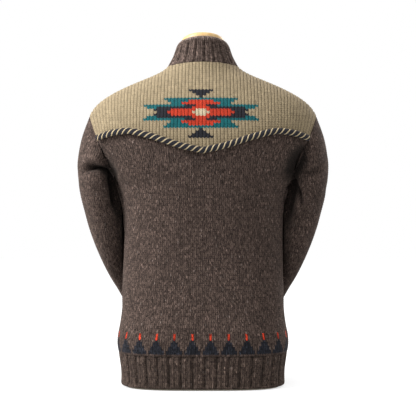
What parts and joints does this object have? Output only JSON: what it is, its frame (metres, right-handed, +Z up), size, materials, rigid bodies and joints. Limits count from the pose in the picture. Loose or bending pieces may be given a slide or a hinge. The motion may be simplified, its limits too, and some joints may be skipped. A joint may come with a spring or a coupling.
{
  "type": "knitted pullover on a limbless dress form",
  "caption": "Heavy ribbed-knit pullover with a pointed contrast yoke, worn by a limbless table-top dress form with a turned wooden neck cap.",
  "frame": {"origin": "middle of the dress form's flat base, on the surface that it stands on", "axes": "+Z up; a wearer would face -Y, so the garment's back faces +Y; +X is the wearer's left"},
  "size_m": [0.5332, 0.3297, 0.7415],
  "materials": {
    "body_knit": "heathered dark brown wool",
    "rib_knit": "heathered dark brown ribbed wool",
    "yoke_knit": "bulky tan wool",
    "trim_yarn": "twisted dark and tan yarn",
    "form_linen": "plain natural linen",
    "form_wood": "clear satin beech"
  },
  "bodies": {
    "root": {"back_panel": "body_knit", "front_panel": "body_knit", "left_upper_sleeve": "body_knit", "left_middle_sleeve": "body_knit", "left_lower_sleeve": "body_knit", "right_upper_sleeve": "body_knit", "right_middle_sleeve": "body_knit", "right_lower_sleeve": "body_knit", "hem_rib": "rib_knit", "collar_rib": "rib_knit", "left_cuff": "rib_knit", "right_cuff": "rib_knit", "back_yoke": "yoke_knit", "front_yoke": "yoke_knit", "back_trim_cord": "trim_yarn", "front_trim_cord": "trim_yarn", "dress_form": "form_linen", "neck_cap": "form_wood"}
  },
  "joints": []
}
